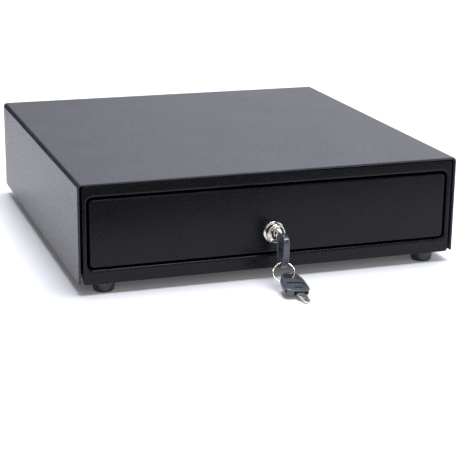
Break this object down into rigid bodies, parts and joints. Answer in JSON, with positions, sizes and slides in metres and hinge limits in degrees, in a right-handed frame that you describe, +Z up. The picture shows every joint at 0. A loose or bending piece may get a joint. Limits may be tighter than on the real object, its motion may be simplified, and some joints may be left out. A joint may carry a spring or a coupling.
{
  "type": "cash drawer",
  "caption": "Steel till drawer on ball slides in a folded housing, with a key lock, a hanging spare key, a release latch and a lift-out note and coin tray.",
  "frame": {"origin": "the middle of the whole object's box, on the table under the feet", "axes": "+Z up, +Y from the drawer's front to the rear panel, so the drawer opens towards -Y; +X to the right of a person in front of it"},
  "size_m": [0.41, 0.5018, 0.115],
  "materials": {
    "black_coat": "satin fine-textured black powder coat",
    "cover_coat": "satin fine-textured powder coat, catching more light",
    "zinc_steel": "zinc-plated steel",
    "lock_chrome": "bright nickel plate",
    "key_nickel": "nickel-plated, slightly worn",
    "key_plastic": "satin dark blue-gray",
    "foot_rubber": "smooth black rubber",
    "tray_plastic": "fine-textured black",
    "clip_plastic": "satin black",
    "coil_tape": "satin amber winding tape",
    "socket_plastic": "satin black"
  },
  "bodies": {
    "housing": {"top_cover": "cover_coat", "chassis": "black_coat", "front_frame": "black_coat", "rear_panel": "black_coat", "phone_socket": "socket_plastic", "foot_front_left": "foot_rubber", "foot_front_right": "foot_rubber", "foot_rear_left": "foot_rubber", "foot_rear_right": "foot_rubber", "foot_screw_front_left": "zinc_steel", "foot_screw_front_right": "zinc_steel", "foot_screw_rear_left": "zinc_steel", "foot_screw_rear_right": "zinc_steel", "cover_screw_left_low": "black_coat", "cover_screw_left_high": "black_coat", "cover_screw_right_low": "black_coat", "cover_screw_right_high": "black_coat", "rail_outer_right": "zinc_steel", "rail_outer_left": "zinc_steel", "latch_bracket": "zinc_steel", "latch_pin": "zinc_steel", "latch_spring": "zinc_steel", "solenoid_frame": "zinc_steel", "solenoid_coil": "coil_tape", "microswitch": "socket_plastic", "switch_bracket": "zinc_steel", "ejector_guide": "zinc_steel", "ejector_spring": "zinc_steel"},
    "cage_right": {"ball_cage_right": "zinc_steel"},
    "cage_left": {"ball_cage_left": "zinc_steel"},
    "drawer": {"drawer_front": "black_coat", "drawer_pan": "black_coat", "latch_strike": "zinc_steel", "till_tray": "tray_plastic", "coin_cups": "tray_plastic", "bill_divider_1": "tray_plastic", "bill_divider_2": "tray_plastic", "bill_divider_3": "tray_plastic", "clip_axle": "zinc_steel", "rail_inner_right": "zinc_steel", "rail_inner_left": "zinc_steel", "lock_nut": "zinc_steel", "lock_body": "lock_chrome"},
    "note_clip_1": {"note_clip_1": "clip_plastic"},
    "note_clip_2": {"note_clip_2": "clip_plastic"},
    "note_clip_3": {"note_clip_3": "clip_plastic"},
    "note_clip_4": {"note_clip_4": "clip_plastic"},
    "lock": {"lock_plug": "lock_chrome", "lock_cam": "zinc_steel", "cam_screw": "zinc_steel", "key_blade": "key_nickel"},
    "key_head": {"key_head": "key_plastic", "key_pin": "key_nickel"},
    "key_ring": {"key_ring": "key_nickel"},
    "spare_head": {"spare_key_head": "key_plastic", "spare_key_pin": "key_nickel"},
    "spare_blade": {"spare_key_blade": "key_nickel"},
    "latch_lever": {"latch_lever": "zinc_steel"},
    "plunger": {"solenoid_plunger": "zinc_steel"},
    "switch_lever": {"switch_lever": "zinc_steel"}
  },
  "joints": [
    {"name": "drawer_slide", "type": "slide", "parent": "housing", "child": "drawer", "axis": [0, -1, 0], "range_m": [0, 0.26], "deforming": ["ejector_spring"]},
    {"name": "cage_right_slide", "type": "slide", "parent": "housing", "child": "cage_right", "axis": [0, -1, 0], "range_m": [0, 0.13]},
    {"name": "cage_left_slide", "type": "slide", "parent": "housing", "child": "cage_left", "axis": [0, -1, 0], "range_m": [0, 0.13]},
    {"name": "note_clip_1_hinge", "type": "hinge", "parent": "drawer", "child": "note_clip_1", "pos_m": [-0.13605, 0.1632, 0.08], "axis": [-1, 0, 0], "range_deg": [0, 32], "stiffness_Nm_per_rad": 0.02, "springref_deg": -34.38},
    {"name": "note_clip_2_hinge", "type": "hinge", "parent": "drawer", "child": "note_clip_2", "pos_m": [-0.04535, 0.1632, 0.08], "axis": [-1, 0, 0], "range_deg": [0, 32], "stiffness_Nm_per_rad": 0.02, "springref_deg": -34.38},
    {"name": "note_clip_3_hinge", "type": "hinge", "parent": "drawer", "child": "note_clip_3", "pos_m": [0.04535, 0.1632, 0.08], "axis": [-1, 0, 0], "range_deg": [0, 32], "stiffness_Nm_per_rad": 0.02, "springref_deg": -34.38},
    {"name": "note_clip_4_hinge", "type": "hinge", "parent": "drawer", "child": "note_clip_4", "pos_m": [0.13605, 0.1632, 0.08], "axis": [-1, 0, 0], "range_deg": [0, 32], "stiffness_Nm_per_rad": 0.02, "springref_deg": -34.38},
    {"name": "lock_turn", "type": "hinge", "parent": "drawer", "child": "lock", "pos_m": [0, -0.1645, 0.05], "axis": [0, 1, 0], "range_deg": [-90, 90]},
    {"name": "key_fold", "type": "hinge", "parent": "lock", "child": "key_head", "pos_m": [0, -0.1927, 0.05], "axis": [0.9976, -0.0698, 0], "range_deg": [-90, 0]},
    {"name": "ring_swing", "type": "hinge", "parent": "key_head", "child": "key_ring", "pos_m": [0.0014, -0.1937, 0.0252], "axis": [0.9135, -0.4067, 0], "range_deg": [-60, 0]},
    {"name": "spare_swing", "type": "hinge", "parent": "key_ring", "child": "spare_head", "pos_m": [0.00451, -0.20812, 0.01243], "axis": [-0.9957, 0.0021, 0.0928], "range_deg": [0, 15]},
    {"name": "spare_fold", "type": "hinge", "parent": "spare_head", "child": "spare_blade", "pos_m": [0.00202, -0.22918, 0.00713], "axis": [0.0893, -0.2517, 0.9637], "range_deg": [-11, 79]},
    {"name": "latch_lever_hinge", "type": "hinge", "parent": "housing", "child": "latch_lever", "pos_m": [0, 0.2123, 0.045], "axis": [1, 0, 0], "range_deg": [0, 16], "deforming": ["latch_spring"]},
    {"name": "solenoid_plunger_slide", "type": "slide", "parent": "housing", "child": "plunger", "axis": [0, 0, 1], "range_m": [0, 0.005]},
    {"name": "switch_lever_hinge", "type": "hinge", "parent": "housing", "child": "switch_lever", "pos_m": [0.06, 0.1777, 0.03], "axis": [-1, 0, 0], "range_deg": [0, 8], "stiffness_Nm_per_rad": 0.01, "springref_deg": -5.73}
  ],
  "couplings": [
    {"joint": "cage_right_slide", "follows": "drawer_slide", "ratio": 0.5},
    {"joint": "cage_left_slide", "follows": "drawer_slide", "ratio": 0.5},
    {"joint": "solenoid_plunger_slide", "follows": "latch_lever_hinge", "m_per_rad": 0.017}
  ]
}
